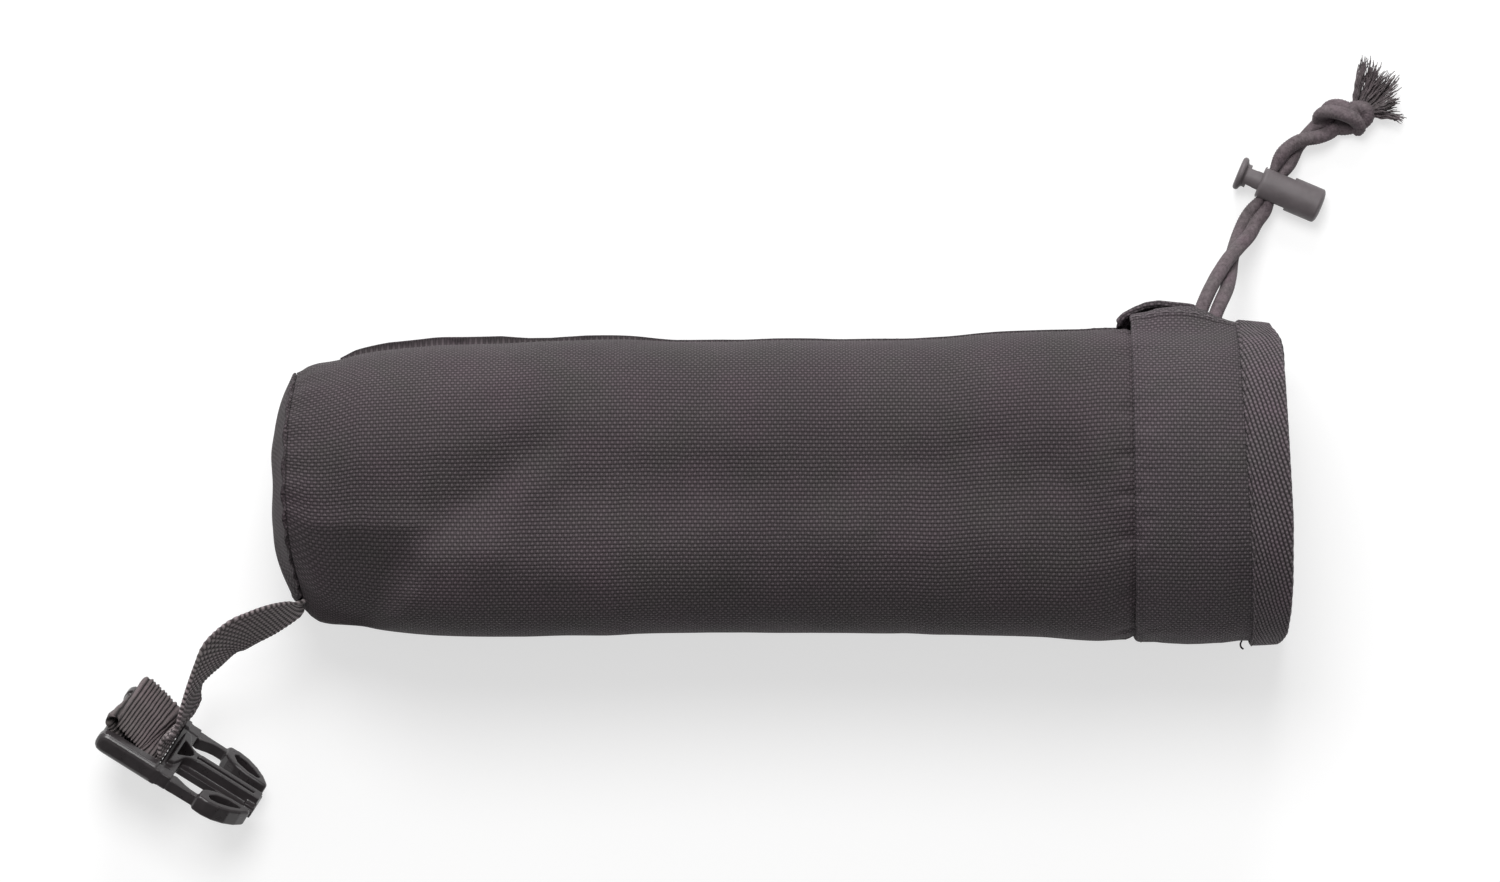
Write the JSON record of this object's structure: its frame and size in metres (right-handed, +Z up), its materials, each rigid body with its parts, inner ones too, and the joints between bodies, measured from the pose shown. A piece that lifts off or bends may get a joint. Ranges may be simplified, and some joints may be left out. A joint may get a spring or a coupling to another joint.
{
  "type": "rope storage bag",
  "caption": "Cylindrical canvas rope bag lying on its side, with a drawcord mouth, sliding cord lock and a webbing tab ending in a side-release buckle plug.",
  "frame": {"origin": "on the flat that the bag rests on, under the middle of the canvas tube", "axes": "+X along the tube's axis towards the mouth, +Z up from the rest surface, +Y to the side where the drawcord comes out"},
  "size_m": [0.3775, 0.2148, 0.0874],
  "materials": {
    "canvas": "heavy plain-weave canvas, matt",
    "binding_tape": "twill binding tape, matt",
    "thread": "twisted sewing thread",
    "cord": "braided cord with a soft sheen",
    "webbing": "woven webbing, matt",
    "plastic": "moulded acetal, satin",
    "spring_steel": "drawn wire"
  },
  "bodies": {
    "bag": {"body_panel": "canvas", "side_seam_thread": "thread", "base_panel": "canvas", "base_seam_binding": "binding_tape", "base_seam_thread": "thread", "drawcord_casing": "canvas", "casing_hem_upper": "canvas", "casing_hem_lower": "canvas", "casing_seam_thread": "thread", "casing_hem_thread": "thread", "mouth_binding": "binding_tape", "binding_thread": "thread", "drawcord_loop": "cord", "drawcord_strand_a": "cord", "drawcord_strand_b": "cord", "drawcord_knot": "cord", "drawcord_tassel": "cord", "strap_anchor": "webbing", "strap_bartack": "thread"},
    "cord_lock": {"cord_lock_barrel": "plastic", "cord_lock_spring": "spring_steel"},
    "lock_plunger": {"cord_lock_plunger": "plastic"},
    "strap": {"carry_strap": "webbing"},
    "buckle": {"strap_wrap": "webbing", "strap_tail_thread": "thread", "buckle_frame": "plastic"},
    "prong_left": {"buckle_prong_left": "plastic"},
    "prong_right": {"buckle_prong_right": "plastic"}
  },
  "joints": [
    {"name": "cord_lock_slide", "type": "slide", "parent": "bag", "child": "cord_lock", "axis": [0.3891, 0.9212, 0], "range_m": [-0.01, 0.01]},
    {"name": "lock_plunger_press", "type": "slide", "parent": "cord_lock", "child": "lock_plunger", "axis": [0.9212, -0.3891, 0], "range_m": [0, 0.004], "stiffness_N_per_m": 400, "springref_m": -0.004, "deforming": ["cord_lock_spring"]},
    {"name": "strap_swing", "type": "hinge", "parent": "bag", "child": "strap", "pos_m": [-0.1406, -0.0356, 0.036], "axis": [0, 0, 1], "range_deg": [-20, 25]},
    {"name": "buckle_pivot", "type": "hinge", "parent": "strap", "child": "buckle", "pos_m": [-0.17449, -0.07212, 0.01813], "axis": [0.269, 0.4304, -0.8616], "range_deg": [-15, 15]},
    {"name": "prong_left_flex", "type": "hinge", "parent": "buckle", "child": "prong_left", "pos_m": [-0.17507, -0.08447, 0.02815], "axis": [0.4566, 0.7307, 0.5075], "range_deg": [0, 4.5], "stiffness_Nm_per_rad": 0.03},
    {"name": "prong_right_flex", "type": "hinge", "parent": "buckle", "child": "prong_right", "pos_m": [-0.16749, -0.07233, 0.00385], "axis": [-0.4566, -0.7307, -0.5075], "range_deg": [0, 4.5], "stiffness_Nm_per_rad": 0.03}
  ]
}
